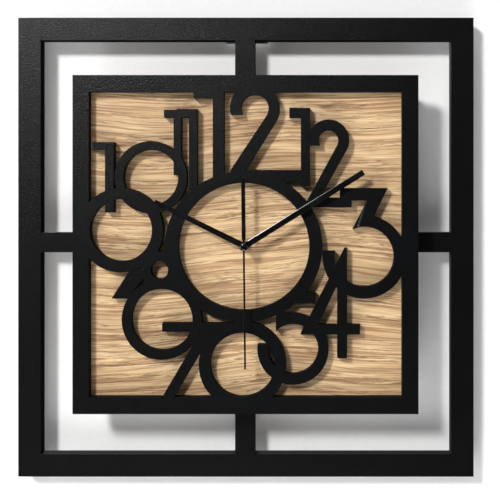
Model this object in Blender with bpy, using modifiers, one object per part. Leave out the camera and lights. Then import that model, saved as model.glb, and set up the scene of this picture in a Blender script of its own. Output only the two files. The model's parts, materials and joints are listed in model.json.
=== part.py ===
"""Wall clock: a wooden dial panel behind a cut-out plate of numerals, carried on four rails in front of a larger
square frame, with a quartz movement behind the panel.

Every piece is drawn in the wall frame: x to the viewer's right, y up and z out of the wall, in millimetres, with the
origin on the wall at the hook. The empty wall_hook turns that frame so that the clock's front faces -Y with +Z up.
"""

from math import acos, asin, cos, degrees, hypot, pi, radians, sin

import bmesh
import bpy

MM = 0.001

# Outer frame and its arms, one sheet standing off the wall on bumpers.
HOOK_ABOVE_CENTRE = 236.0
FRAME_SIZE = (498.0, 502.0)
FRAME_MEMBER = 24.6
FRAME_BACK = 10.0
FRAME_THICK = 12.0
ARM_WIDTH = 21.6
ARM_CENTRE = (-1.0, 5.2)
ARM_OVERLAP = 5.0
CARRIER_SIZE = 336.0
CARRIER_WINDOW = 262.0

# Dial: rails, panel and numeral plate, centred a little above the middle of the outer frame.
DIAL_CENTRE = (2.5, 5.4)
DIAL_SIZE = (363.6, 356.4)
RAIL_DEPTH = 17.7
RAIL_WIDTH = 14.0
RAIL_INSET = 6.0
PANEL_THICK = 4.0
PLATE_THICK = 9.0
BORDER = (17.0, 17.5)
GAP = 0.3

# Depths, measured out from the wall.
FRAME_FRONT = FRAME_BACK + FRAME_THICK
RAIL_BACK = FRAME_FRONT + GAP
PANEL_BACK = RAIL_BACK + RAIL_DEPTH + GAP
PLATE_BACK = PANEL_BACK + PANEL_THICK + GAP
PLATE_FRONT = PLATE_BACK + PLATE_THICK

# The hands' axis and the dial ring round it, from the dial's centre.
AXIS_OFFSET = (-0.8, -1.5)
SHAFT_HOLE = 3.8
RING_CENTRE = (-2.0, -2.2)
RING_OUTER = (83.0, 79.2)
RING_INNER = (69.1, 67.0)

# Hands: length from the axis, width, thickness, the depth of the back face, and the angle clockwise from twelve.
HUB_RADIUS = 4.3
HOUR_HAND = {"length": 105.0, "width": 6.4, "tip": 4.8, "thick": 0.8, "back": 56.4, "angle": 296.4}
MINUTE_HAND = {"length": 146.5, "width": 6.3, "tip": 6.3, "thick": 0.8, "back": 59.6, "angle": 58.1}
SECOND_HAND = {"length": 127.0, "width": 2.0, "tip": 1.9, "thick": 0.5, "back": 63.6, "angle": 179.4}
TAIL_LENGTH = 72.0
TAIL_WIDTH = 4.2
TAIL_NECK = (5.5, 9.0)
HOUR_TUBE = (2.0, 1.5)
MINUTE_TUBE = (1.2, 0.8)
SECONDS_ARBOR = 0.5

# Movement: a square case, its cover against the back of the panel, and the battery bay under the gears.
CASE_SIZE = 56.0
CASE_WALL = 1.2
CASE_BACK = 22.7
COVER_BACK = 37.5
COVER_THICK = 1.2
BUSHING = (3.4, 2.3)
BATTERY_CENTRE = (0.0, -18.6, 30.0)
BATTERY_RADIUS = 7.1
BATTERY_LENGTH = 49.8
BAY_TOP = -10.4

# Gear train: teeth and module of each pair, and the centres of the wheels from the hands' axis.
MODULE_FAST = 0.25
MODULE_CENTRE = 0.2647
MODULE_CANNON = 0.4
MODULE_HOUR = 0.384
THIRD_DISTANCE = 9.0
MINUTE_WHEEL_DISTANCE = 9.6
INTERMEDIATE_DISTANCE = 7.0
ROTOR_DISTANCE = 13.0
ROTOR_SIDE = 75.0
TOOTH_ROOT = 0.46
TOOTH_TIP = 0.2

BLACK = (0.012, 0.012, 0.014, 1)
WOOD = (0.58, 0.38, 0.2, 1)
CASE_PLASTIC = (0.03, 0.03, 0.032, 1)
GEAR_PLASTIC = (0.75, 0.72, 0.62, 1)
BRASS = (0.7, 0.5, 0.2, 1)
STEEL = (0.5, 0.5, 0.5, 1)
COPPER = (0.6, 0.25, 0.1, 1)
RUBBER = (0.02, 0.02, 0.02, 1)
BOARD_GREEN = (0.02, 0.12, 0.05, 1)
CELL = (0.1, 0.1, 0.12, 1)


# ---------------------------------------------------------------- scene and helpers

for old in list(bpy.data.objects):
    bpy.data.objects.remove(old, do_unlink=True)


def new_collection(name, hidden):
    collection = bpy.data.collections.new(name)
    bpy.context.scene.collection.children.link(collection)
    collection.hide_render = hidden
    return collection


PARTS = new_collection("wall_clock", hidden=False)
CUTTERS = new_collection("cutters", hidden=True)
STROKES = new_collection("numeral_strokes", hidden=True)

hook = bpy.data.objects.new("wall_hook", None)
PARTS.objects.link(hook)
hook.rotation_euler = (pi / 2, 0, 0)


def material(name, colour, roughness, metallic):
    made = bpy.data.materials.new(name)
    made.use_nodes = True
    shader = made.node_tree.nodes["Principled BSDF"]
    shader.inputs["Base Color"].default_value = colour
    shader.inputs["Roughness"].default_value = roughness
    shader.inputs["Metallic"].default_value = metallic
    return made


def place(name, mesh, at, finish=None):
    """A node from a mesh, with its origin at a point of the wall frame."""
    obj = bpy.data.objects.new(name, mesh)
    PARTS.objects.link(obj)
    obj.parent = hook
    obj.location = [v * MM for v in at]
    if finish:
        mesh.materials.clear()
        mesh.materials.append(material(name, *finish))
    return obj


def helper(obj, collection=CUTTERS):
    """Turns an object into a cutter or a stroke, which the build leaves out."""
    PARTS.objects.unlink(obj)
    collection.objects.link(obj)
    obj.hide_render = True
    obj.display_type = "WIRE"
    return obj


def boolean(target, operation, *others):
    for other in others:
        modifier = target.modifiers.new(other.name, "BOOLEAN")
        modifier.operation = operation
        modifier.solver = "EXACT"
        modifier.object = helper(other)
    return target


def mesh_of_curve(curve, name, weld=1e-7):
    """The closed mesh of a curve, with its caps welded to its sides."""
    guide = bpy.data.objects.new(name, curve)
    PARTS.objects.link(guide)
    bpy.context.view_layer.update()
    evaluated = guide.evaluated_get(bpy.context.evaluated_depsgraph_get())
    mesh = bpy.data.meshes.new_from_object(evaluated)
    weld_points(mesh, weld)
    bpy.data.objects.remove(guide, do_unlink=True)
    bpy.data.curves.remove(curve)
    mesh.name = name
    return mesh


def weld_points(mesh, distance):
    work = bmesh.new()
    work.from_mesh(mesh)
    bmesh.ops.remove_doubles(work, verts=work.verts, dist=distance)
    work.to_mesh(mesh)
    work.free()


def prism(name, loops, back, front, at=(0.0, 0.0), finish=None):
    """A flat piece: closed outlines in millimetres round `at`, from depth back to depth front."""
    curve = bpy.data.curves.new(name, "CURVE")
    curve.dimensions = "2D"
    curve.fill_mode = "BOTH"
    curve.extrude = (front - back) / 2 * MM
    for loop in loops:
        spline = curve.splines.new("POLY")
        spline.points.add(len(loop) - 1)
        for point, (x, y) in zip(spline.points, loop):
            point.co = (x * MM, y * MM, 0, 1)
        spline.use_cyclic_u = True
    mesh = mesh_of_curve(curve, name)
    for vertex in mesh.vertices:
        vertex.co.z += (front - back) / 2 * MM
    return place(name, mesh, (*at, back), finish)


def turned(name, profile, at=(0.0, 0.0), finish=None, steps=32):
    """A turned piece: (radius, depth) points down its outer side, front to back, and up the bore if it has one."""
    base = min(depth for _, depth in profile)
    mesh = bpy.data.meshes.new(name)
    points = [(radius * MM, 0, (depth - base) * MM) for radius, depth in profile]
    edges = [(i, i + 1) for i in range(len(points) - 1)]
    if profile[0][0] > 0:
        edges.append((len(points) - 1, 0))
    mesh.from_pydata(points, edges, [])
    obj = place(name, mesh, (*at, base), finish)
    screw = obj.modifiers.new("turn", "SCREW")
    screw.steps = screw.render_steps = steps
    screw.use_merge_vertices = True
    screw.merge_threshold = 1e-6
    screw.use_smooth_shade = True
    return obj


def tube(name, outer, inner, back, front, at=(0.0, 0.0), finish=None, steps=24):
    return turned(name, [(outer, front), (outer, back), (inner, back), (inner, front)], at, finish, steps)


def rod(name, radius, back, front, at=(0.0, 0.0), finish=None, steps=16):
    return turned(name, [(0, front), (radius, front), (radius, back), (0, back)], at, finish, steps)


def rect(left, right, bottom, top):
    return [(left, bottom), (right, bottom), (right, top), (left, top)]


def square(width, height, centre=(0.0, 0.0)):
    x, y = centre
    return rect(x - width / 2, x + width / 2, y - height / 2, y + height / 2)


def ellipse(radii, centre=(0.0, 0.0), points=72):
    turns = [2 * pi * i / points for i in range(points)]
    return [(centre[0] + radii[0] * cos(t), centre[1] + radii[1] * sin(t)) for t in turns]


def circle(radius, centre=(0.0, 0.0), points=48):
    return ellipse((radius, radius), centre, points)


def arc_stroke(centre, outer, inner, start, end, points=24):
    """Part of a ring, anticlockwise in degrees. start and end each give the outer and the inner edge's angle."""
    def edge(radius, first, last):
        angles = [radians(first + (last - first) * i / points) for i in range(points + 1)]
        return [(centre[0] + radius * cos(a), centre[1] + radius * sin(a)) for a in angles]

    return edge(outer, start[0], end[0]) + edge(inner, end[1], start[1])


def polar(distance, angle):
    return (distance * cos(radians(angle)), distance * sin(radians(angle)))


def add(a, b):
    return (a[0] + b[0], a[1] + b[1])


FRAME_CENTRE = (0.0, -HOOK_ABOVE_CENTRE)
DIAL = add(FRAME_CENTRE, DIAL_CENTRE)
AXIS = add(DIAL, AXIS_OFFSET)

PAINTED = (BLACK, 0.6, 0.3)
PLASTIC = (GEAR_PLASTIC, 0.5, 0.0)


# Four screws run through the frame's carrier square into the top and bottom rails, from the dial's centre.
SCREW_SHANK = 1.6
SCREW_HOLE = 2.0
SCREW_HEAD = 3.4
SCREW_DEPTH = 9.0
SCREW_ROW = DIAL_SIZE[1] / 2 - RAIL_INSET - RAIL_WIDTH / 2 - 2.5
RAIL_SCREWS = [(-120.0, SCREW_ROW), (120.0, SCREW_ROW), (-120.0, -SCREW_ROW), (120.0, -SCREW_ROW)]


# ---------------------------------------------------------------- outer frame

def frame_sheet():
    """The square frame, the carrier square behind the dial, and the four arms that join them."""
    width, height = FRAME_SIZE
    inner = (width - 2 * FRAME_MEMBER, height - 2 * FRAME_MEMBER)
    holes = [circle(SCREW_HOLE, at, 16) for at in RAIL_SCREWS]
    carrier = [square(CARRIER_SIZE, CARRIER_SIZE), square(CARRIER_WINDOW, CARRIER_WINDOW), *holes]
    arm_x, arm_y = ARM_CENTRE
    half = ARM_WIDTH / 2
    reach = CARRIER_SIZE / 2 - ARM_OVERLAP
    into = ARM_OVERLAP
    centre_x, centre_y = DIAL_CENTRE
    arms = {
        "arm_top": rect(arm_x - half, arm_x + half, centre_y + reach, inner[1] / 2 + into),
        "arm_bottom": rect(arm_x - half, arm_x + half, -inner[1] / 2 - into, centre_y - reach),
        "arm_left": rect(-inner[0] / 2 - into, centre_x - reach, arm_y - half, arm_y + half),
        "arm_right": rect(centre_x + reach, inner[0] / 2 + into, arm_y - half, arm_y + half),
    }
    sheet = prism("outer_frame", [square(width, height), square(*inner)], FRAME_BACK, FRAME_FRONT, FRAME_CENTRE,
                  PAINTED)
    pieces = [prism(name, [outline], FRAME_BACK, FRAME_FRONT, FRAME_CENTRE) for name, outline in arms.items()]
    return boolean(sheet, "UNION", prism("carrier", carrier, FRAME_BACK, FRAME_FRONT, DIAL), *pieces)


outer_frame = frame_sheet()


def slotted_screw(name, at, head_back, length, finish=(STEEL, 0.35, 1.0)):
    """A pan-head screw driven away from the wall, with a cross slot in its head."""
    head = head_back + 1.9
    screw = turned(name, [
        (0, head + length), (0.4, head + length), (SCREW_SHANK, head + length - 2.0), (SCREW_SHANK, head),
        (SCREW_HEAD, head), (SCREW_HEAD, head_back + 0.7), (SCREW_HEAD - 0.8, head_back), (0, head_back),
    ], at, finish, steps=14)
    slots = [prism(f"{name}_slot_{i}", [square(*size)], head_back - 1, head_back + 1.0, at)
             for i, size in enumerate(((3.4, 0.8), (0.8, 3.4)))]
    return boolean(screw, "DIFFERENCE", *slots)


# ---------------------------------------------------------------- rails, panel

RAIL_FRONT = RAIL_BACK + RAIL_DEPTH
RAIL_X = DIAL_SIZE[0] / 2 - RAIL_INSET
RAIL_Y = DIAL_SIZE[1] / 2 - RAIL_INSET
side_height = 2 * (RAIL_Y - RAIL_WIDTH - GAP)
RAILS = {
    "box_rail_top": square(2 * RAIL_X, RAIL_WIDTH, (0, RAIL_Y - RAIL_WIDTH / 2)),
    "box_rail_bottom": square(2 * RAIL_X, RAIL_WIDTH, (0, -RAIL_Y + RAIL_WIDTH / 2)),
    "box_rail_left": square(RAIL_WIDTH, side_height, (-RAIL_X + RAIL_WIDTH / 2, 0)),
    "box_rail_right": square(RAIL_WIDTH, side_height, (RAIL_X - RAIL_WIDTH / 2, 0)),
}
rails = {name: prism(name, [outline], RAIL_BACK, RAIL_FRONT, DIAL, (BLACK, 0.7, 0.0))
         for name, outline in RAILS.items()}
for number, (x, y) in enumerate(RAIL_SCREWS, start=1):
    at = add(DIAL, (x, y))
    pilot = rod(f"pilot_{number}", SCREW_HOLE, RAIL_BACK - 1, RAIL_BACK + SCREW_DEPTH, at, steps=16)
    boolean(rails["box_rail_top" if y > 0 else "box_rail_bottom"], "DIFFERENCE", pilot)
    slotted_screw(f"frame_screw_{number}", at, FRAME_BACK - GAP - 1.9, FRAME_THICK + SCREW_DEPTH - 2)

prism("oak_panel", [square(DIAL_SIZE[0] - 1.2, DIAL_SIZE[1] - 1.2), circle(SHAFT_HOLE, AXIS_OFFSET)],
      PANEL_BACK, PANEL_BACK + PANEL_THICK, DIAL, (WOOD, 0.55, 0.0))


# ---------------------------------------------------------------- numeral plate

# Each numeral is a set of strokes, from the dial's centre. They run into each other, the ring and the border.
# Polygons are straight strokes, and arc_stroke is a bowl.
WINDOW_X = DIAL_SIZE[0] / 2 - BORDER[0]
WINDOW_Y = DIAL_SIZE[1] / 2 - BORDER[1]
EDGE = 2.0


def tangent(foot, centre, radius, past=0.0):
    """Where the line from foot that passes to the right of a circle touches it: its angle, and the point past it."""
    x, y = centre[0] - foot[0], centre[1] - foot[1]
    away = hypot(x, y)
    line = degrees(acos(x / away) - asin(radius / away))
    return line - 90, add(add(centre, polar(radius, line - 90)), polar(past, line))


def figure_two(centre, outer, inner, hook, foot_left, foot_right, *toe):
    """The bowl and the diagonal of a 2. hook is where the bowl ends, and toe rounds off the diagonal's foot."""
    outer_end, outer_point = tangent(foot_right, centre, outer)
    inner_end, inner_point = tangent(foot_left, centre, inner, past=3.0)
    return [
        [arc_stroke(centre, outer, inner, (outer_end - 8, inner_end + 3), hook, points=22)],
        [[inner_point, outer_point, foot_right, *toe, foot_left]],
    ]


NUMERALS = {
    "twelve": [
        [rect(-34.4, -22.7, 65.0, WINDOW_Y + EDGE)],
        [rect(-54.7, -34.0, 154.2, WINDOW_Y + EDGE)],
        *figure_two((9.7, 143.2), 26.2, 14.6, (194.1, 206.0), (-16.0, 77.9), (0.4, 78.4), (-4.0, 74.0), (-14.0, 74.0)),
        [rect(-16.0, 60.0, 66.0, 78.4)],
    ],
    "one": [
        [rect(46.1, 60.0, 133.5, 143.7)],
        [rect(58.2, 67.9, 61.4, 143.7)],
    ],
    "two": [
        *figure_two((87.3, 109.7), 21.9, 10.5, (194.4, 210.9), (62.9, 43.0), (76.2, 45.0), (66.4, 43.0)),
        [rect(66.0, 111.6, 39.2, 49.4)],
    ],
    "three": [
        [[(99.4, 46.2), (140.0, 46.2), (149.6, 59.5), (99.4, 59.5)]],
        [[(149.6, 59.5), (128.3, 46.2), (112.8, 15.9), (124.9, 19.9), (137.0, 28.0), (135.1, 29.4)]],
        [arc_stroke((124.9, -12.8), 44.0, 31.6, (172.2, 169.2), (436.4, 472.8), points=30)],
    ],
    "four": [
        [[(96.5, -119.4), (106.8, -119.4), (106.8, -3.7), (105.2, -3.7), (96.5, -20.6)]],
        [[(104.4, -3.7), (105.4, -3.7), (97.2, -41.0), (77.0, -83.0), (76.4, -94.4), (58.0, -94.6)]],
        [[(57.8, -94.6), (120.4, -94.6), (120.4, -84.5), (62.9, -84.5)]],
    ],
    "five": [
        [rect(50.0, 73.7, -62.1, -50.8)],
        [[(31.9, -63.0), (31.9, -91.2), (35.0, -88.0), (46.0, -80.0), (42.0, -74.6), (42.0, -63.0)]],
        [arc_stroke((50.0, -109.9), 37.5, 26.5, (172.8, 170.3), (461.2, 492.8), points=30)],
    ],
    "six": [
        [circle(46.0, (-3.2, -126.7), 48), circle(34.0, (-3.2, -126.7), 48)],
    ],
    "seven": [
        [rect(-87.7, -6.0, -91.8, -82.7)],
        [[(-42.1, -82.7), (-28.9, -82.7), (-76.2, -WINDOW_Y - EDGE), (-89.0, -WINDOW_Y - EDGE)]],
    ],
    "eight": [
        [circle(42.1, (-88.1, -79.1), 48), circle(32.4, (-88.1, -79.1), 48)],
        [circle(19.5, (-90.6, -27.1), 40), circle(9.25, (-90.6, -27.1), 32)],
    ],
    "nine": [
        [circle(44.5, (-131.0, 15.1), 48), circle(32.7, (-131.0, 15.1), 48)],
        [[(-121.4, -26.5), (-123.6, -29.9), (-140.8, -56.8), (-123.9, -56.8), (-99.8, -25.0)]],
    ],
    "ten": [
        [rect(-161.3, -140.0, 99.5, 107.7)],
        [rect(-147.7, -138.5, 33.8, 107.7)],
        [circle(38.1, (-99.6, 70.7), 48), circle(28.9, (-99.6, 70.7), 48)],
    ],
    "eleven": [
        [rect(-85.7, -70.0, 133.7, 141.7)],
        [rect(-75.6, -67.7, 72.9, 141.7)],
        [rect(-72.3, -52.0, 133.5, 142.5)],
        [rect(-59.5, -50.9, 58.0, 142.5)],
    ],
}


def numeral_plate():
    """The border, the ring and every stroke, joined into one sheet."""
    border = [square(*DIAL_SIZE), square(2 * WINDOW_X, 2 * WINDOW_Y)]
    plate = prism("numeral_plate", border, PLATE_BACK, PLATE_FRONT, DIAL, PAINTED)
    ring = prism("ring", [ellipse(RING_OUTER, RING_CENTRE), ellipse(RING_INNER, RING_CENTRE)],
                 PLATE_BACK, PLATE_FRONT, DIAL)
    helper(ring, STROKES)
    for hour, strokes in NUMERALS.items():
        for number, loops in enumerate(strokes):
            stroke = prism(f"{hour}_stroke_{number}", loops, PLATE_BACK, PLATE_FRONT, DIAL)
            helper(stroke, STROKES)
    join = plate.modifiers.new("strokes", "BOOLEAN")
    join.operation = "UNION"
    join.solver = "EXACT"
    join.operand_type = "COLLECTION"
    join.collection = STROKES


# ---------------------------------------------------------------- hands

def hand(name, size, bore, tail=None):
    """A flat hand round its hub, turned to its angle about the axis, with a square-cut tip."""
    half, tip = size["width"] / 2, size["tip"] / 2
    back, front = size["back"], size["back"] + size["thick"]
    blade = prism(f"{name}_blade", [[(-half, 0), (half, 0), (tip, size["length"]), (-tip, size["length"])]],
                  back, front, AXIS)
    obj = prism(name, [circle(HUB_RADIUS, points=24)], back, front, AXIS, (BLACK, 0.35, 0.2))
    pieces = [blade]
    if tail:
        neck_start, neck_end = TAIL_NECK
        wide, narrow = TAIL_WIDTH / 2, size["width"] / 2
        pieces.append(prism(f"{name}_tail", [[
            (-narrow, 0), (-narrow, -neck_start), (-wide, -neck_end), (-wide, -tail),
            (wide, -tail), (wide, -neck_end), (narrow, -neck_start), (narrow, 0),
        ]], back, front, AXIS))
    boolean(obj, "UNION", *pieces)
    boolean(obj, "DIFFERENCE", rod(f"{name}_bore", bore, back - 1, front + 1, AXIS))
    for piece in (obj, *pieces):
        piece.rotation_euler = (0, 0, -radians(size["angle"]))
    return obj


PRESS_GAP = 0.2
BUSH_WALL = 0.7
hour_bush_inner = HOUR_TUBE[0] + PRESS_GAP
hour_bush_outer = hour_bush_inner + BUSH_WALL
minute_bush_inner = MINUTE_TUBE[0] + PRESS_GAP
minute_bush_outer = minute_bush_inner + BUSH_WALL
second_tube_inner = SECONDS_ARBOR + PRESS_GAP
second_tube_outer = second_tube_inner + BUSH_WALL

hand("hour_hand", HOUR_HAND, hour_bush_outer + PRESS_GAP)
hand("minute_hand", MINUTE_HAND, minute_bush_outer + PRESS_GAP)
hand("second_hand", SECOND_HAND, second_tube_outer + PRESS_GAP, TAIL_LENGTH)

tube("hour_hand_bush", hour_bush_outer, hour_bush_inner, 54.8, 57.5, AXIS, (BRASS, 0.3, 1.0))
tube("minute_hand_bush", minute_bush_outer, minute_bush_inner, 58.2, 60.7, AXIS, (BRASS, 0.3, 1.0))
tube("minute_hand_nut", 2.8, minute_bush_inner, 61.0, 62.4, AXIS, (STEEL, 0.25, 1.0))
tube("second_hand_tube", second_tube_outer, second_tube_inner, 62.7, 65.4, AXIS, (BRASS, 0.3, 1.0))

CAP_RADIUS = 4.4
CAP_BACK = 64.4
CAP_FRONT = 67.6
CAP_STEPS = 5
dome = [(CAP_RADIUS * sin(pi / 2 * i / CAP_STEPS),
         CAP_BACK + 0.8 + (CAP_FRONT - CAP_BACK - 0.8) * cos(pi / 2 * i / CAP_STEPS)) for i in range(CAP_STEPS + 1)]
second_hand_cap = turned("second_hand_cap", [
    *dome, (CAP_RADIUS, CAP_BACK), (second_tube_outer + PRESS_GAP, CAP_BACK),
    (second_tube_outer + PRESS_GAP, 65.7), (0, 65.7),
], AXIS, (BLACK, 0.15, 0.2), 28)


# ---------------------------------------------------------------- gear train

def gear_outline(teeth, module, tooth_at):
    """A gear's outline with trapezoid teeth, one of them centred at the angle tooth_at in degrees."""
    pitch_radius = teeth * module / 2
    tip, root = pitch_radius + 0.85 * module, pitch_radius - 1.2 * module
    step = 360 / teeth
    outline = []
    for tooth in range(teeth):
        middle = tooth_at + tooth * step
        for radius, share in ((root, -TOOTH_ROOT), (tip, -TOOTH_TIP), (tip, TOOTH_TIP), (root, TOOTH_ROOT)):
            outline.append(polar(radius, middle + share / 2 * step * (1.12 if radius == root else 1.0)))
    return outline


def towards(a, b):
    """The direction from one centre to another, in degrees."""
    angle = degrees(asin(max(-1.0, min(1.0, (b[1] - a[1]) / hypot(b[0] - a[0], b[1] - a[1])))))
    return angle if b[0] >= a[0] else 180 - angle


def driving(at, to):
    """The tooth angle of a gear that shows a tooth to its partner."""
    return towards(at, to)


def driven(at, to, teeth):
    """The tooth angle of a gear that shows a gap to its partner."""
    return towards(at, to) + 180 / teeth


def wheel(name, at, discs, arbor, bore=0.0, finish=PLASTIC):
    """Coaxial gears on one arbor: (teeth, module, tooth angle, back, front) each, and the arbor's profile."""
    centre = add(AXIS, at)
    body = turned(name, arbor, centre, finish, 24)
    gears = [prism(f"{name}_gear_{i}", [gear_outline(teeth, module, angle)], back, front, centre)
             for i, (teeth, module, angle, back, front) in enumerate(discs)]
    boolean(body, "UNION", *gears)
    if bore:
        depths = [depth for _, depth in arbor]
        boolean(body, "DIFFERENCE", rod(f"{name}_bore", bore, min(depths) - 1, max(depths) + 1, centre))
    return body


CENTRE = (0.0, 0.0)
THIRD = (-THIRD_DISTANCE, 0.0)
MINUTE = (MINUTE_WHEEL_DISTANCE, 0.0)
INTERMEDIATE = polar(INTERMEDIATE_DISTANCE, ROTOR_SIDE)
ROTOR = polar(ROTOR_DISTANCE, ROTOR_SIDE)
REAR_PIVOT = 24.5

wheel("seconds_wheel", CENTRE, [
    (48, MODULE_FAST, driving(CENTRE, INTERMEDIATE), 27.0, 27.8),
    (8, MODULE_FAST, driving(CENTRE, THIRD), 27.6, 29.6),
], [(0, 65.2), (SECONDS_ARBOR, 65.2), (SECONDS_ARBOR, REAR_PIVOT), (0, REAR_PIVOT)])

wheel("third_wheel", THIRD, [
    (64, MODULE_FAST, driven(THIRD, CENTRE, 48), 28.4, 29.2),
    (8, MODULE_CENTRE, driving(THIRD, CENTRE), 29.0, 32.8),
], [(0, 33.6), (0.5, 33.6), (0.5, REAR_PIVOT), (0, REAR_PIVOT)])

wheel("centre_wheel", CENTRE, [
    (60, MODULE_CENTRE, driven(CENTRE, THIRD, 60), 31.6, 32.4),
    (12, MODULE_CANNON, driving(CENTRE, MINUTE), 32.2, 34.9),
], [(0, 61.9), (MINUTE_TUBE[0], 61.9), (MINUTE_TUBE[0], 31.3), (0, 31.3)], bore=MINUTE_TUBE[1])

wheel("minute_wheel", MINUTE, [
    (36, MODULE_CANNON, driven(MINUTE, CENTRE, 36), 33.2, 34.0),
    (10, MODULE_HOUR, driving(MINUTE, CENTRE), 33.8, 36.4),
], [(0, 37.2), (0.7, 37.2), (0.7, 34.0), (1.0, 33.2), (1.0, 24.4), (0, 24.4)])

wheel("hour_wheel", CENTRE, [
    (40, MODULE_HOUR, driven(CENTRE, MINUTE, 40), 35.2, 36.2),
], [(0, 57.6), (HOUR_TUBE[0], 57.6), (HOUR_TUBE[0], 35.2), (0, 35.2)], bore=HOUR_TUBE[1])

wheel("intermediate_wheel", INTERMEDIATE, [
    (40, MODULE_FAST, driven(INTERMEDIATE, ROTOR, 40), 25.4, 26.2),
    (8, MODULE_FAST, driven(INTERMEDIATE, CENTRE, 8), 26.0, 28.2),
], [(0, 29.6), (0.4, 29.6), (0.4, REAR_PIVOT), (0, REAR_PIVOT)])

wheel("rotor_pinion", ROTOR, [
    (8, MODULE_FAST, driving(ROTOR, INTERMEDIATE), 25.2, 26.5),
], [(0, 29.6), (0.4, 29.6), (0.4, REAR_PIVOT), (0, REAR_PIVOT)])

ROTOR_AT = add(AXIS, ROTOR)
MAGNET_RADIUS = 3.0
tube("rotor_magnet", MAGNET_RADIUS, 0.6, 26.9, 28.5, ROTOR_AT, ((0.12, 0.12, 0.12, 1), 0.4, 0.8), 28)

MINUTE_AT = add(AXIS, MINUTE)
KNOB_RADIUS = 5.5
knob = turned("setting_knob", [
    (0, 24.1), (1.0, 24.1), (1.0, 22.3), (KNOB_RADIUS - 0.6, 22.3), (KNOB_RADIUS, 21.7),
    (KNOB_RADIUS, 18.9), (KNOB_RADIUS - 0.6, 18.3), (0, 18.3),
], MINUTE_AT, (CASE_PLASTIC, 0.45, 0.0), 24)
KNOB_GRIPS = 12
boolean(knob, "DIFFERENCE", *[
    rod(f"knob_grip_{i}", 0.45, 17.0, 22.0, add(MINUTE_AT, polar(KNOB_RADIUS + 0.1, 360 * i / KNOB_GRIPS)), steps=6)
    for i in range(KNOB_GRIPS)
])


# ---------------------------------------------------------------- movement housing

CASE_HALF = CASE_SIZE / 2
INSIDE = CASE_HALF - CASE_WALL
CASE_FRONT = COVER_BACK - GAP
CASE_FLOOR = CASE_BACK + 1.4
CASE_FINISH = (CASE_PLASTIC, 0.5, 0.0)

case = prism("movement_case", [square(CASE_SIZE, CASE_SIZE)], CASE_BACK, CASE_FRONT, AXIS, CASE_FINISH)
gear_room = prism("gear_room", [rect(-INSIDE, INSIDE, BAY_TOP + 0.6, INSIDE)], CASE_FLOOR, CASE_FRONT + 1, AXIS)
battery_bay = prism("battery_bay", [rect(-INSIDE, INSIDE, -INSIDE, BAY_TOP - 0.6)],
                    CASE_BACK - 1, CASE_FRONT + 1, AXIS)
knob_hole = rod("knob_hole", 1.3, CASE_BACK - 1, CASE_FLOOR + 1, MINUTE_AT, steps=16)
boolean(case, "DIFFERENCE", gear_room, battery_bay, knob_hole)

cover = prism("movement_cover", [square(CASE_SIZE, CASE_SIZE)], COVER_BACK, COVER_BACK + COVER_THICK, AXIS,
              CASE_FINISH)
boolean(cover, "UNION", rod("bushing", BUSHING[0], COVER_BACK + 0.2, 52.0, AXIS, steps=32))
boolean(cover, "DIFFERENCE", rod("bushing_bore", BUSHING[1], COVER_BACK - 1, 53.0, AXIS, steps=32))

PLATE_DEPTHS = (30.0, 31.0)
PLATE_HOLES = ((CENTRE, 0.9), (THIRD, 1.6), (MINUTE, 1.3))
prism("train_plate", [rect(-21.0, 21.0, -9.0, 16.6), *(circle(r, at, 20) for at, r in PLATE_HOLES)],
      *PLATE_DEPTHS, AXIS, PLASTIC)

tube("rubber_washer", 9.0, BUSHING[0] + GAP, COVER_BACK + COVER_THICK + GAP, PANEL_BACK - GAP, AXIS,
     (RUBBER, 0.9, 0.0))
WASHER_BACK = PANEL_BACK + PANEL_THICK + GAP
tube("shaft_washer", 4.8, BUSHING[0] + GAP, WASHER_BACK, WASHER_BACK + 0.6, AXIS, (BRASS, 0.3, 1.0))
NUT_BACK = WASHER_BACK + 0.6 + GAP
turned("shaft_nut", [
    (4.2, NUT_BACK + 3.2), (4.7, NUT_BACK + 2.7), (4.7, NUT_BACK), (BUSHING[0] + GAP, NUT_BACK),
    (BUSHING[0] + GAP, NUT_BACK + 3.2),
], AXIS, (STEEL, 0.3, 1.0), 28)


# ---------------------------------------------------------------- motor and electronics

STATOR_DEPTHS = (27.2, 28.0)
stator = prism("stator", [rect(-12.0, 18.0, 8.4, 24.4), rect(-8.6, 14.6, 17.0, 21.4)], *STATOR_DEPTHS, AXIS,
               ((0.35, 0.34, 0.33, 1), 0.4, 1.0))
boolean(stator, "DIFFERENCE", rod("rotor_hole", MAGNET_RADIUS + 0.5, 26.0, 29.0, ROTOR_AT, steps=32))

COIL_CENTRE = (3.0, 22.9)
COIL_DEPTH = sum(STATOR_DEPTHS) / 2
COIL_LENGTH = 21.0
SPOOL_BORE = 2.0
SPOOL_CORE = 2.4
FLANGE_RADIUS = 3.3
FLANGE = 0.8


def along_x(obj, centre):
    """Turns a piece made round the depth axis so that it lies along x, with its middle at centre."""
    x, y, depth, length = centre
    obj.rotation_euler = (0, pi / 2, 0)
    obj.location = [v * MM for v in (AXIS[0] + x - length / 2, AXIS[1] + y, depth)]
    return obj


bobbin = turned("coil_bobbin", [
    (FLANGE_RADIUS, COIL_LENGTH), (FLANGE_RADIUS, COIL_LENGTH - FLANGE), (SPOOL_CORE, COIL_LENGTH - FLANGE),
    (SPOOL_CORE, FLANGE), (FLANGE_RADIUS, FLANGE), (FLANGE_RADIUS, 0), (SPOOL_BORE, 0), (SPOOL_BORE, COIL_LENGTH),
], finish=((0.6, 0.58, 0.5, 1), 0.5, 0.0), steps=24)
along_x(bobbin, (*COIL_CENTRE, COIL_DEPTH, COIL_LENGTH))
winding_length = COIL_LENGTH - 2 * FLANGE - 2 * GAP
winding = tube("coil_winding", FLANGE_RADIUS - 0.2, SPOOL_CORE + GAP, 0, winding_length,
               finish=(COPPER, 0.35, 1.0), steps=24)
along_x(winding, (*COIL_CENTRE, COIL_DEPTH, winding_length))

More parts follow.
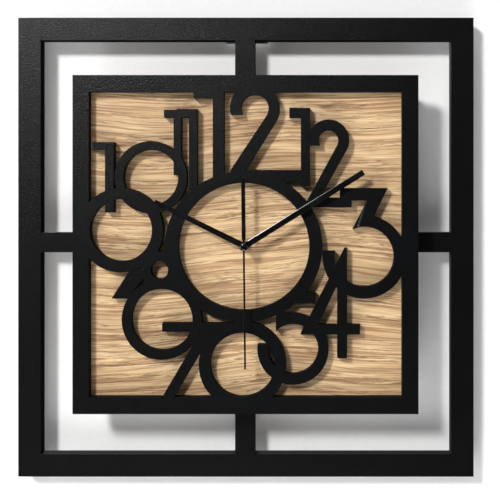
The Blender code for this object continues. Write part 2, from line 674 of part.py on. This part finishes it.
BOARD = rect(19.0, 26.2, -9.0, 14.0)
prism("circuit_board", [BOARD], 25.4, 26.2, AXIS, (BOARD_GREEN, 0.5, 0.0))
prism("timer_chip", [rect(20.5, 24.5, 1.0, 5.0)], 26.5, 27.6, AXIS, ((0.01, 0.01, 0.01, 1), 0.4, 0.0))
crystal = rod("quartz_crystal", 1.0, 0, 6.0, finish=(STEEL, 0.25, 1.0), steps=20)
crystal.rotation_euler = (-pi / 2, 0, 0)
crystal.location = [v * MM for v in (AXIS[0] + 22.5, AXIS[1] - 7.6, 27.6)]

NUB = 1.2
battery = turned("battery", [
    (0, BATTERY_LENGTH), (2.6, BATTERY_LENGTH), (2.6, BATTERY_LENGTH - NUB), (BATTERY_RADIUS - 0.6,
     BATTERY_LENGTH - NUB), (BATTERY_RADIUS, BATTERY_LENGTH - NUB - 0.6), (BATTERY_RADIUS, 0.5),
    (BATTERY_RADIUS - 0.5, 0), (0, 0),
], finish=(CELL, 0.3, 0.4), steps=28)
along_x(battery, (*BATTERY_CENTRE, BATTERY_LENGTH))

CONTACT_X = INSIDE - GAP
CONTACT_Y = (-25.0, -12.4)
contact_finish = ((0.6, 0.6, 0.58, 1), 0.3, 1.0)
prism("positive_contact", [rect(CONTACT_X - 0.5, CONTACT_X, *CONTACT_Y)], 24.4, 36.0, AXIS, contact_finish)


def spring_contact():
    """The negative contact: a wire that winds in from the case wall to the cell's flat end."""
    turns, points = 2.5, 30
    wire = bpy.data.curves.new("negative_contact", "CURVE")
    wire.dimensions = "3D"
    wire.bevel_depth = 0.22 * MM
    wire.bevel_resolution = 1
    wire.use_fill_caps = True
    spline = wire.splines.new("POLY")
    spline.points.add(points)
    for i, point in enumerate(spline.points):
        share = i / points
        radius = 4.2 - 2.4 * share
        turn = 2 * pi * turns * share
        point.co = (1.2 * share * MM, radius * cos(turn) * MM, radius * sin(turn) * MM, 1)
    mesh = mesh_of_curve(wire, "negative_contact")
    x, y, depth = -CONTACT_X + 0.22, BATTERY_CENTRE[1], BATTERY_CENTRE[2]
    place("negative_contact", mesh, (AXIS[0] + x, AXIS[1] + y, depth), contact_finish)


spring_contact()


# ---------------------------------------------------------------- hanger and bumpers

HANGER = {"width": 46.0, "height": 18.0, "thick": 1.2, "screws": 17.0}
HANGER_BACK = FRAME_BACK - GAP - HANGER["thick"]
HANGER_SLOT = 2.4
HANGER_ENTRY = 4.6
hanger = prism("keyhole_hanger", [square(HANGER["width"], HANGER["height"])], HANGER_BACK, FRAME_BACK - GAP,
               (0.0, -2.0), (STEEL, 0.35, 1.0))
boolean(hanger, "DIFFERENCE",
        rod("keyhole_entry", HANGER_ENTRY, HANGER_BACK - 1, FRAME_BACK + 1, (0.0, -5.5)),
        prism("keyhole_slot", [rect(-HANGER_SLOT, HANGER_SLOT, -5.5, 0.0)], HANGER_BACK - 1, FRAME_BACK + 1),
        rod("keyhole_end", HANGER_SLOT, HANGER_BACK - 1, FRAME_BACK + 1, (0.0, 0.0)))
# The frame is relieved behind the keyhole, so that the hook's head has room.
boolean(outer_frame, "DIFFERENCE",
        prism("hook_pocket", [rect(-6.0, 6.0, -8.0, 5.0)], FRAME_BACK - 1, FRAME_BACK + 6.0))
for side, x in (("left", -HANGER["screws"]), ("right", HANGER["screws"])):
    at = (x, -2.0)
    boolean(hanger, "DIFFERENCE", rod(f"hanger_hole_{side}", SCREW_HOLE, HANGER_BACK - 1, FRAME_BACK + 1, at,
                                      steps=16))
    boolean(outer_frame, "DIFFERENCE", rod(f"hanger_pilot_{side}", SCREW_HOLE, FRAME_BACK - 1, FRAME_BACK + 8.0,
                                           at, steps=16))
    slotted_screw(f"hanger_screw_{side}", at, HANGER_BACK - GAP - 1.9, 8.0)

BUMPER_RADIUS = 9.0
BUMPER_INSET = FRAME_MEMBER / 2
corner_x = FRAME_SIZE[0] / 2 - BUMPER_INSET
corner_y = FRAME_SIZE[1] / 2 - BUMPER_INSET
for number, (sx, sy) in enumerate(((-1, 1), (1, 1), (-1, -1), (1, -1)), start=1):
    turned(f"wall_bumper_{number}", [
        (0, FRAME_BACK - GAP), (BUMPER_RADIUS, FRAME_BACK - GAP), (BUMPER_RADIUS, 1.0), (BUMPER_RADIUS - 1.0, 0),
        (0, 0),
    ], add(FRAME_CENTRE, (sx * corner_x, sy * corner_y)), (RUBBER, 0.9, 0.0), 20)

numeral_plate()
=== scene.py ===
"""Looks of the wall clock: its camera, lights, wall and materials, and the finer pieces over the CAD frame.

Everything is in metres in the row frame: +X to the viewer's right, +Y into the wall and +Z up. The wall is
y = 0 and the hook is the origin, behind the middle of the frame's top member.
"""

import json
from math import cos, pi, radians, sin

import bmesh
import bpy
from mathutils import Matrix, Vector


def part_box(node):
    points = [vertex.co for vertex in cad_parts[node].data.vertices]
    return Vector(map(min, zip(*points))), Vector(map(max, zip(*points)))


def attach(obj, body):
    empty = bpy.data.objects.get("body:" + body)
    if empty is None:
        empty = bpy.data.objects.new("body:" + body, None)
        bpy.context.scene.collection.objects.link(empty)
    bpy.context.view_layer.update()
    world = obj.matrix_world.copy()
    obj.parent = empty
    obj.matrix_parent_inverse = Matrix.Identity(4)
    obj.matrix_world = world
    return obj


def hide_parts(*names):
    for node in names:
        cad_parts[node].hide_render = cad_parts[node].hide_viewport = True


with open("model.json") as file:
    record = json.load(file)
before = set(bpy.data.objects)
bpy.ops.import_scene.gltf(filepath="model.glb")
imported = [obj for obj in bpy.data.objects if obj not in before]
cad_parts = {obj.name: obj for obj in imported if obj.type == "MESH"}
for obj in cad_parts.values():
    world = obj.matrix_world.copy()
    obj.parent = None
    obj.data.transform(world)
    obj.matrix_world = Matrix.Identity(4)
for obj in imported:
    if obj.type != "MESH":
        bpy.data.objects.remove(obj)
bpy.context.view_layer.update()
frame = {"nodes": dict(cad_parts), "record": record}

MM = 0.001
NODES = frame["nodes"]


def middle(node):
    low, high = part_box(node)
    return (Vector(low) + Vector(high)) / 2


CENTRE = middle("outer_frame")


# ---------------------------------------------------------------- camera and light

EYE = Vector((0.0745, -0.830, -0.168))
SENSOR = 36.0
LENS = 53.2
SHIFT = (-0.128, -0.130)

KEY_SLOPE = Vector((-0.62, -1.0, 0.68))
KEY_DISTANCE = 4.0
FILL_WIDTH = 2.2
AMBIENT = 0.09

# Soft boxes, from the middle of the frame: where each one stands, its width, its watts and its colour.
# The key makes the shadows. The fills light them from so far round that the black coating hardly mirrors the
# fills to the camera.
SOFT_BOXES = {
    "key_light": (KEY_SLOPE.normalized() * KEY_DISTANCE, 0.72, 148, (1.0, 0.995, 0.985)),
    "left_fill": (Vector((-3.0, -1.0, -0.6)), FILL_WIDTH, 34, (1.0, 1.0, 1.0)),
    "top_fill": (Vector((-0.3, -1.0, 3.0)), FILL_WIDTH, 33, (0.97, 0.985, 1.0)),
    "right_fill": (Vector((3.1, -1.0, 0.2)), FILL_WIDTH, 18, (1.0, 1.0, 1.0)),
    "low_fill": (Vector((-0.4, -1.0, -3.0)), FILL_WIDTH, 98, (1.0, 1.0, 1.0)),
    "back_light": (Vector((-0.9, 2.2, 1.1)), 1.0, 60, (1.0, 1.0, 1.0)),
}


def camera():
    """Square to the wall, from a little right of the dial and above its middle."""
    data = bpy.data.cameras.new("camera")
    data.sensor_width = SENSOR
    data.lens = LENS
    data.shift_x, data.shift_y = SHIFT
    obj = bpy.data.objects.new("camera", data)
    obj.location = EYE
    obj.rotation_euler = (pi / 2, 0, 0)
    bpy.context.scene.collection.objects.link(obj)
    bpy.context.scene.camera = obj


def area_light(name, place, target, width, watts, colour):
    data = bpy.data.lights.new(name, "AREA")
    data.shape = "DISK"
    data.size = width
    data.energy = watts
    data.color = colour
    obj = bpy.data.objects.new(name, data)
    obj.location = place
    obj.rotation_euler = (Vector(target) - Vector(place)).to_track_quat("-Z", "Y").to_euler()
    obj.visible_camera = False
    bpy.context.scene.collection.objects.link(obj)


def studio():
    for name, (place, width, watts, colour) in SOFT_BOXES.items():
        area_light(name, CENTRE + place, CENTRE, width, watts, colour)
    world = bpy.data.worlds.new("studio")
    world.use_nodes = True
    background = world.node_tree.nodes["Background"]
    background.inputs["Color"].default_value = (0.95, 0.97, 1.0, 1)
    background.inputs["Strength"].default_value = AMBIENT
    bpy.context.scene.world = world
    bpy.context.scene.view_settings.view_transform = "Standard"


camera()
studio()


# ---------------------------------------------------------------- shader helpers

class Paint:
    """One material's node tree. Texture coordinates are metres in the row frame."""

    def __init__(self, name, roughness=0.5, metallic=0.0, **sockets):
        self.material = bpy.data.materials.new(name)
        self.material.use_nodes = True
        self.tree = self.material.node_tree
        self.shader = self.tree.nodes["Principled BSDF"]
        self.shader.inputs["Roughness"].default_value = roughness
        self.shader.inputs["Metallic"].default_value = metallic
        for socket, value in sockets.items():
            self.shader.inputs[socket.replace("_", " ")].default_value = value
        self.place = self.node("ShaderNodeTexCoord").outputs["Object"]

    def node(self, kind, **settings):
        made = self.tree.nodes.new(kind)
        for key, value in settings.items():
            setattr(made, key, value)
        return made

    def link(self, output, target):
        if isinstance(target, str):
            target = self.shader.inputs[target]
        self.tree.links.new(output, target)

    def stretched(self, scale, source=None):
        """The coordinates stretched along each axis."""
        mapping = self.node("ShaderNodeMapping")
        mapping.inputs["Scale"].default_value = scale
        self.link(source or self.place, mapping.inputs["Vector"])
        return mapping.outputs["Vector"]

    def noise(self, scale, detail=3.0, source=None, roughness=0.5, distortion=0.0):
        made = self.node("ShaderNodeTexNoise")
        made.inputs["Scale"].default_value = scale
        made.inputs["Detail"].default_value = detail
        made.inputs["Roughness"].default_value = roughness
        made.inputs["Distortion"].default_value = distortion
        self.link(source or self.place, made.inputs["Vector"])
        return made.outputs["Fac"]

    def math(self, operation, a, b=0.5):
        made = self.node("ShaderNodeMath", operation=operation)
        for socket, value in zip(made.inputs, (a, b)):
            if isinstance(value, (int, float)):
                socket.default_value = value
            else:
                self.link(value, socket)
        return made.outputs[0]

    def steps(self, source, low, high, to=(0.0, 1.0)):
        """Maps low..high smoothly to the two values in `to`."""
        made = self.node("ShaderNodeMapRange", interpolation_type="SMOOTHSTEP")
        made.inputs["From Min"].default_value = low
        made.inputs["From Max"].default_value = high
        made.inputs["To Min"].default_value = to[0]
        made.inputs["To Max"].default_value = to[1]
        self.link(source, made.inputs["Value"])
        return made.outputs["Result"]

    def split(self, vector):
        """The vector's X, Y and Z, as a node's outputs."""
        made = self.node("ShaderNodeSeparateXYZ")
        self.link(vector, made.inputs[0])
        return made.outputs

    def mix(self, factor, a, b):
        """Colour a where the factor is 0 and colour b where it is 1."""
        made = self.node("ShaderNodeMix", data_type="RGBA")
        for socket, value in ((made.inputs[0], factor), (made.inputs[6], a), (made.inputs[7], b)):
            if isinstance(value, (int, float)):
                socket.default_value = value
            elif isinstance(value, tuple):
                socket.default_value = (*value, 1)
            else:
                self.link(value, socket)
        return made.outputs[2]

    def bump(self, height, depth, strength=1.0, under=None):
        """A bump of the given depth in metres, over the one under it."""
        made = self.node("ShaderNodeBump")
        made.inputs["Strength"].default_value = strength
        made.inputs["Distance"].default_value = depth
        self.link(height, made.inputs["Height"])
        if under:
            self.link(under, made.inputs["Normal"])
        return made.outputs["Normal"]


# ---------------------------------------------------------------- materials

COATING_ROUGHNESS = 0.37
CUT_SIDE_ROUGHNESS = 0.95


def coated_board(name, dark, light):
    """Fine-textured black coating: grains of about a millimetre that catch the light, and matt cut sides."""
    paint = Paint(name, COATING_ROUGHNESS, Specular_IOR_Level=0.20)
    grain = paint.noise(1500, 2.0)
    coarse = paint.noise(1050, 0.0)
    clouds = paint.noise(22, 3.0)
    speck = paint.steps(paint.noise(2300, 1.0), 0.60, 0.74)
    body = paint.mix(paint.steps(clouds, 0.3, 0.7), dark, light)
    body = paint.mix(paint.math("MULTIPLY", speck, 0.35), body, (0.010, 0.011, 0.012))
    paint.link(body, "Base Color")
    normal = paint.split(paint.node("ShaderNodeNewGeometry").outputs["True Normal"])
    cut_sides = paint.steps(paint.math("ABSOLUTE", normal["Y"]), 0.2, 0.5, (CUT_SIDE_ROUGHNESS, 0.0))
    faces = paint.steps(grain, 0.3, 0.7, (COATING_ROUGHNESS - 0.05, COATING_ROUGHNESS + 0.05))
    paint.link(paint.math("MAXIMUM", cut_sides, faces), "Roughness")
    rough = paint.bump(coarse, 0.00028)
    paint.link(paint.bump(grain, 0.00003, 0.6, rough), "Normal")
    return paint.material


def oak(name):
    """Oak veneer with its grain along x: gently waving bands and darker lines, fibres and short pores."""
    paint = Paint(name, 0.5, Specular_IOR_Level=0.35)
    place = paint.split(paint.place)
    waves = paint.noise(1.0, 2.0, paint.stretched((6.0, 1.0, 14.0)))
    lift = paint.noise(1.0, 1.0, paint.stretched((3.2, 1.0, 3.6)))
    height = paint.math("ADD", place["Z"], paint.math("MULTIPLY", waves, 0.006))
    height = paint.math("ADD", height, paint.math("MULTIPLY", lift, 0.065))
    joined = paint.node("ShaderNodeCombineXYZ")
    paint.link(place["X"], joined.inputs["X"])
    paint.link(place["Y"], joined.inputs["Y"])
    paint.link(height, joined.inputs["Z"])
    flow = joined.outputs[0]
    bands = paint.noise(1.0, 4.0, paint.stretched((8.0, 1.0, 210.0), flow), 0.6)
    broad = paint.noise(1.0, 2.0, paint.stretched((2.0, 1.0, 30.0), flow))
    lines = paint.noise(1.0, 2.0, paint.stretched((13.0, 13.0, 540.0), flow))
    dashes = paint.noise(1.0, 1.0, paint.stretched((26.0, 26.0, 740.0), flow))
    fibres = paint.noise(1.0, 3.0, paint.stretched((34.0, 34.0, 1500.0), flow), 0.6)
    pores = paint.noise(1.0, 2.0, paint.stretched((100.0, 60.0, 1300.0), flow))
    clusters = paint.steps(paint.noise(1.0, 3.0, paint.stretched((6.0, 6.0, 110.0), flow)), 0.40, 0.60)
    wood = paint.mix(paint.steps(bands, 0.40, 0.62), (0.77, 0.560, 0.320), (0.54, 0.345, 0.180))
    wood = paint.mix(paint.steps(broad, 0.40, 0.70, (0.0, 0.35)), wood, (0.50, 0.335, 0.185))
    wood = paint.mix(paint.steps(lines, 0.51, 0.60, (0.0, 0.78)), wood, (0.340, 0.185, 0.090))
    wood = paint.mix(paint.steps(fibres, 0.45, 0.75, (0.0, 0.35)), wood, (0.30, 0.18, 0.09))
    dark = paint.math("MULTIPLY", paint.steps(dashes, 0.56, 0.63), paint.math("MULTIPLY", clusters, 0.75))
    wood = paint.mix(dark, wood, (0.150, 0.075, 0.038))
    crowding = paint.math("ADD", paint.math("MULTIPLY", clusters, 0.6), 0.08)
    pits = paint.math("MULTIPLY", paint.steps(pores, 0.56, 0.66), crowding)
    wood = paint.mix(pits, wood, (0.115, 0.060, 0.030))
    paint.link(wood, "Base Color")
    paint.link(paint.steps(fibres, 0.3, 0.8, (0.42, 0.6)), "Roughness")
    fine = paint.bump(fibres, 0.00006, 0.5)
    paint.link(paint.bump(paint.math("SUBTRACT", 1.0, pits), 0.00012, 0.7, fine), "Normal")
    return paint.material


def stained_wood(name):
    """Black-stained softwood: grain lines along x still show under the stain."""
    paint = Paint(name, 0.7, Specular_IOR_Level=0.35)
    lines = paint.noise(1.0, 4.0, paint.stretched((6.0, 160.0, 160.0)), 0.6)
    fine = paint.noise(1.0, 2.0, paint.stretched((60.0, 1400.0, 1400.0)))
    stain = paint.mix(paint.steps(lines, 0.35, 0.7), (0.012, 0.011, 0.010), (0.045, 0.038, 0.032))
    paint.link(stain, "Base Color")
    paint.link(paint.steps(fine, 0.3, 0.7, (0.6, 0.8)), "Roughness")
    paint.link(paint.bump(fine, 0.0001, 0.6), "Normal")
    return paint.material


def enamel(name, colour, roughness):
    """Smooth stoved enamel with slight orange peel."""
    paint = Paint(name, roughness, Specular_IOR_Level=0.4)
    peel = paint.noise(700, 2.0)
    smear = paint.noise(60, 3.0)
    paint.link(paint.mix(paint.steps(smear, 0.3, 0.7), colour, tuple(1.9 * c for c in colour)), "Base Color")
    paint.link(paint.steps(smear, 0.3, 0.7, (roughness - 0.05, roughness + 0.07)), "Roughness")
    paint.link(paint.bump(peel, 0.00002, 0.3), "Normal")
    return paint.material


def metal(name, colour, roughness, turned=False):
    """Plated or drawn metal with faint tarnish. Its fine scratches are level if turned, otherwise upright."""
    paint = Paint(name, roughness, 1.0)
    stretch = (60.0, 60.0, 2200.0) if turned else (2200.0, 260.0, 260.0)
    scratches = paint.noise(1.0, 3.0, paint.stretched(stretch))
    tarnish = paint.noise(180, 4.0)
    duller = tuple(0.72 * c for c in colour)
    paint.link(paint.mix(paint.steps(tarnish, 0.45, 0.75), colour, duller), "Base Color")
    paint.link(paint.steps(scratches, 0.25, 0.75, (roughness - 0.1, roughness + 0.14)), "Roughness")
    paint.link(paint.bump(scratches, 0.00003, 0.5), "Normal")
    return paint.material


def moulded(name, colour, roughness, **sockets):
    """Moulded plastic or rubber: spark-eroded texture and slight colour flow."""
    paint = Paint(name, roughness, **sockets)
    texture = paint.noise(2600, 2.0)
    flow = paint.noise(35, 3.0, distortion=0.8)
    paler = tuple(min(1.0, c * 1.35 + 0.004) for c in colour)
    paint.link(paint.mix(paint.steps(flow, 0.3, 0.75, (0.0, 0.35)), colour, paler), "Base Color")
    paint.link(paint.steps(texture, 0.3, 0.7, (roughness - 0.08, roughness + 0.1)), "Roughness")
    paint.link(paint.bump(texture, 0.00005, 0.5), "Normal")
    return paint.material


WINDING_BAND = 1.2554 * MM


def wound_copper(name):
    """Enamelled wire wound along x in bands of turns: copper on each turn's crown, darkening to a painted
    shade in the groove between turns.
    """
    paint = Paint(name, 0.32, 1.0)
    wave = paint.node("ShaderNodeTexWave", bands_direction="X", wave_profile="SIN")
    wave.inputs["Scale"].default_value = pi / 10 / WINDING_BAND
    wave.inputs["Distortion"].default_value = 0.4
    paint.link(paint.place, wave.inputs["Vector"])
    turns = wave.outputs["Fac"]
    # The colour follows the same wave as the bump: painted shade in the grooves between turns, plain copper
    # on their crowns.
    paint.link(paint.mix(turns, (0.20, 0.065, 0.02), (0.72, 0.28, 0.11)), "Base Color")
    paint.link(paint.bump(turns, 0.0001, 0.9), "Normal")
    return paint.material


def solder_board(name):
    """Green solder mask with the paler lines of the tracks under it."""
    paint = Paint(name, 0.35, Coat_Weight=0.4, Coat_Roughness=0.15)
    tracks = paint.node("ShaderNodeTexBrick", offset=0.35, squash=0.6, squash_frequency=3)
    tracks.inputs["Scale"].default_value = 260
    tracks.inputs["Mortar Size"].default_value = 0.06
    tracks.inputs["Color1"].default_value = (0.012, 0.085, 0.035, 1)
    tracks.inputs["Color2"].default_value = (0.014, 0.10, 0.04, 1)
    tracks.inputs["Mortar"].default_value = (0.03, 0.20, 0.075, 1)
    paint.link(paint.place, tracks.inputs["Vector"])
    weave = paint.noise(900, 2.0)
    mask = paint.mix(paint.steps(weave, 0.4, 0.7, (0.0, 0.3)), tracks.outputs["Color"], (0.03, 0.13, 0.05))
    paint.link(mask, "Base Color")
    paint.link(paint.bump(tracks.outputs["Fac"], 0.00004, 0.5), "Normal")
    return paint.material


def cell_sleeve(name):
    """A plain printed sleeve: dark, then copper-coloured towards the positive end, with a bare steel cap."""
    paint = Paint(name, 0.26, 0.4, Coat_Weight=0.5, Coat_Roughness=0.08)
    along = paint.split(paint.place)["X"]
    low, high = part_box("battery")
    band = low[0] + 0.70 * (high[0] - low[0])
    cap = high[0] - 1.9 * MM
    scuffs = paint.noise(300, 4.0)
    copper = paint.steps(along, band - 0.05 * MM, band + 0.05 * MM)
    steel = paint.steps(along, cap - 0.04 * MM, cap + 0.04 * MM)
    colour = paint.mix(copper, (0.018, 0.019, 0.022), (0.52, 0.26, 0.10))
    colour = paint.mix(steel, colour, (0.60, 0.60, 0.58))
    colour = paint.mix(paint.steps(scuffs, 0.55, 0.8, (0.0, 0.35)), colour, (0.30, 0.29, 0.27))
    paint.link(colour, "Base Color")
    paint.link(paint.steps(scuffs, 0.3, 0.8, (0.2, 0.4)), "Roughness")
    paint.link(paint.bump(scuffs, 0.00004, 0.3), "Normal")
    return paint.material


FINISHES = {
    "frame_black": coated_board("frame_coating", (0.0005, 0.0005, 0.0005), (0.0012, 0.0012, 0.0012)),
    "plate_black": coated_board("plate_coating", (0.0005, 0.0006, 0.0008), (0.0010, 0.0013, 0.0017)),
    "rail_black": stained_wood("rail_stain"),
    "oak": oak("oak_veneer"),
    "hand_black": enamel("hand_enamel", (0.0008, 0.0009, 0.0010), 0.22),
    "cap_black": enamel("cap_gloss", (0.001, 0.0012, 0.0016), 0.08),
    "brass": metal("turned_brass", (0.72, 0.52, 0.22), 0.25, turned=True),
    "steel": metal("zinc_plate", (0.62, 0.62, 0.60), 0.32),
    "nut_dark": metal("dark_nickel", (0.09, 0.09, 0.10), 0.28, turned=True),
    "rubber": moulded("black_rubber", (0.018, 0.018, 0.018), 0.85, Specular_IOR_Level=0.3),
    "case_plastic": moulded("case_plastic", (0.022, 0.022, 0.024), 0.48),
    "gear_plastic": moulded("natural_acetal", (0.72, 0.69, 0.60), 0.42, Subsurface_Weight=0.08),
    "magnet": metal("ferrite", (0.10, 0.10, 0.105), 0.5),
    "motor_iron": metal("silicon_steel", (0.34, 0.33, 0.32), 0.42),
    "copper": wound_copper("coil_copper_painted_groove_shade"),
    "board": solder_board("solder_mask"),
    "chip": moulded("chip_epoxy", (0.012, 0.012, 0.012), 0.4),
    "cell": cell_sleeve("cell_sleeve"),
    "nickel": metal("nickel_strip", (0.66, 0.64, 0.58), 0.28),
}


# ---------------------------------------------------------------- edges and shading of the CAD nodes

def shade_by_angle(name, degrees):
    """A modifier group that drops imported normals, smooths faces and keeps edges over the angle sharp."""
    group = bpy.data.node_groups.new(name, "GeometryNodeTree")
    group.interface.new_socket("Geometry", in_out="INPUT", socket_type="NodeSocketGeometry")
    group.interface.new_socket("Geometry", in_out="OUTPUT", socket_type="NodeSocketGeometry")
    nodes, links = group.nodes, group.links
    source, result = nodes.new("NodeGroupInput"), nodes.new("NodeGroupOutput")
    clear = nodes.new("GeometryNodeRemoveAttribute")
    clear.inputs["Name"].default_value = "custom_normal"
    smooth = nodes.new("GeometryNodeSetShadeSmooth")
    smooth.domain = "FACE"
    crease = nodes.new("GeometryNodeSetShadeSmooth")
    crease.domain = "EDGE"
    crease.inputs["Shade Smooth"].default_value = False
    angle = nodes.new("GeometryNodeInputMeshEdgeAngle")
    compare = nodes.new("FunctionNodeCompare")
    compare.operation = "GREATER_THAN"
    compare.inputs["B"].default_value = radians(degrees)
    links.new(source.outputs[0], clear.inputs["Geometry"])
    links.new(clear.outputs["Geometry"], smooth.inputs["Geometry"])
    links.new(smooth.outputs["Geometry"], crease.inputs["Geometry"])
    links.new(angle.outputs["Unsigned Angle"], compare.inputs["A"])
    links.new(compare.outputs["Result"], crease.inputs["Selection"])
    links.new(crease.outputs["Geometry"], result.inputs[0])
    return group


SHADING = shade_by_angle("shade_by_angle", 35)
CRISP = shade_by_angle("shade_crisp", 16)

# Rounding of each node's edges, in millimetres.
EDGES = {
    "outer_frame": 0.6, "numeral_plate": 0.35, "oak_panel": 0.3,
    "hour_hand": 0.06, "minute_hand": 0.06, "second_hand": 0.06,
    "movement_case": 0.25, "movement_cover": 0.2, "keyhole_hanger": 0.12, "setting_knob": 0.15,
    "circuit_board": 0.06, "timer_chip": 0.1, "stator": 0.08, "train_plate": 0.12,
    "box_rail_top": 0.35, "box_rail_bottom": 0.35, "box_rail_left": 0.35, "box_rail_right": 0.35,
}
DEFAULT_EDGE = 0.06

# How close points of a node are joined, in millimetres. The numeral plate's strokes cross at slivers.
WELDS = {"numeral_plate": 0.25}
DEFAULT_WELD = 0.002

# Triangles that lie flatter than the first angle to each other become one face. Corners sharper than the
# second are rounded.
FLAT = radians(0.6)
CORNER = radians(40)


def finish_node(name, obj, finish, smoothing=SHADING):
    """Joins obj's triangles into flat faces, rounds its edges as the named node's and gives it a material."""
    weld = obj.modifiers.new("weld", "WELD")
    weld.merge_threshold = WELDS.get(name, DEFAULT_WELD) * MM
    flat = obj.modifiers.new("flat_faces", "DECIMATE")
    flat.decimate_type = "DISSOLVE"
    flat.angle_limit = FLAT
    edge = obj.modifiers.new("edges", "BEVEL")
    edge.width = EDGES.get(name, DEFAULT_EDGE) * MM
    edge.segments = 2
    edge.limit_method = "ANGLE"
    edge.angle_limit = CORNER
    shading = obj.modifiers.new("shading", "NODES")
    shading.node_group = smoothing
    faces = obj.modifiers.new("flat_face_normals", "WEIGHTED_NORMAL")
    faces.keep_sharp = True
    obj.data.materials.clear()
    obj.data.materials.append(FINISHES[finish])


for part in frame["record"]["subparts"]:
    finish_node(part["node"], NODES[part["node"]], part["material_slot"])


# ---------------------------------------------------------------- finer pieces over the CAD

# The hands are stamped, with a shallow chamfer all round the front face: each hand's body and its chamfer's
# width in millimetres. The drop is a share of the width.
HANDS = {
    "hour_hand": ("hour_group", 0.55),
    "minute_hand": ("minute_group", 0.55),
    "second_hand": ("second_group", 0.3),
}
CHAMFER_DROP = 0.36
FRONT_TOLERANCE = 0.01 * MM


def stamped_hand(node, body, width):
    """The node's own outline with its front face inset, and the rim round it set back."""
    work = bmesh.new()
    work.from_mesh(NODES[node].data)
    bmesh.ops.remove_doubles(work, verts=work.verts, dist=DEFAULT_WELD * MM)
    bmesh.ops.dissolve_limit(work, angle_limit=FLAT, verts=work.verts, edges=work.edges)
    level = min(vertex.co.y for vertex in work.verts) + FRONT_TOLERANCE
    faces = [face for face in work.faces if all(vertex.co.y < level for vertex in face.verts)]
    bmesh.ops.inset_region(work, faces=faces, thickness=width, use_even_offset=True)
    inner = {vertex for face in faces for vertex in face.verts}
    for vertex in work.verts:
        if vertex.co.y < level and vertex not in inner:
            vertex.co.y += CHAMFER_DROP * width
    mesh = bpy.data.meshes.new(f"{node}_stamped")
    work.to_mesh(mesh)
    work.free()
    obj = bpy.data.objects.new(f"{node}_stamped", mesh)
    bpy.context.scene.collection.objects.link(obj)
    finish_node(node, obj, "hand_black", CRISP)
    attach(obj, body)
    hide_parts(node)


for hand, (body, chamfer) in HANDS.items():
    stamped_hand(hand, body, chamfer * MM)


# ---------------------------------------------------------------- wall

WALL_HALF = 4.0
WALL_TOP = 2.6
FLOOR = -1.6
FLOOR_FRONT = -1.7
COVE = 0.4


def wall_section():
    """(y, z) down the wall, round the cove and along the floor."""
    turns = [radians(angle) for angle in range(0, 91, 9)]
    bend = [(-COVE + COVE * cos(turn), FLOOR + COVE - COVE * sin(turn)) for turn in turns]
    return [(0.0, WALL_TOP), *bend, (FLOOR_FRONT, FLOOR)]


def wall():
    """A white painted wall with a coved floor far below it.

    It casts no shadow, so the lights below and behind it reach the clock. No glossy surface mirrors it, and
    seen from behind it is clear, so that the clock's back shows.
    """
    paint = Paint("wall_paint", 0.85)
    roller = paint.noise(160, 3.0)
    paint.link(paint.mix(paint.steps(roller, 0.3, 0.7), (0.86, 0.86, 0.86), (0.88, 0.88, 0.88)), "Base Color")
    paint.link(paint.bump(roller, 0.0001, 0.15), "Normal")
    clear = paint.node("ShaderNodeBsdfTransparent")
    sides = paint.node("ShaderNodeMixShader")
    paint.link(paint.node("ShaderNodeNewGeometry").outputs["Backfacing"], sides.inputs[0])
    paint.link(paint.shader.outputs[0], sides.inputs[1])
    paint.link(clear.outputs[0], sides.inputs[2])
    paint.link(sides.outputs[0], paint.tree.nodes["Material Output"].inputs["Surface"])

    section = wall_section()
    mesh = bpy.data.meshes.new("wall")
    points = [(x, y, z) for y, z in section for x in (-WALL_HALF, WALL_HALF)]
    faces = [(2 * i, 2 * i + 2, 2 * i + 3, 2 * i + 1) for i in range(len(section) - 1)]
    mesh.from_pydata(points, [], faces)
    for face in mesh.polygons:
        face.use_smooth = True
    mesh.materials.append(paint.material)
    obj = bpy.data.objects.new("wall", mesh)
    obj.visible_shadow = False
    obj.visible_glossy = False
    bpy.context.scene.collection.objects.link(obj)


wall()
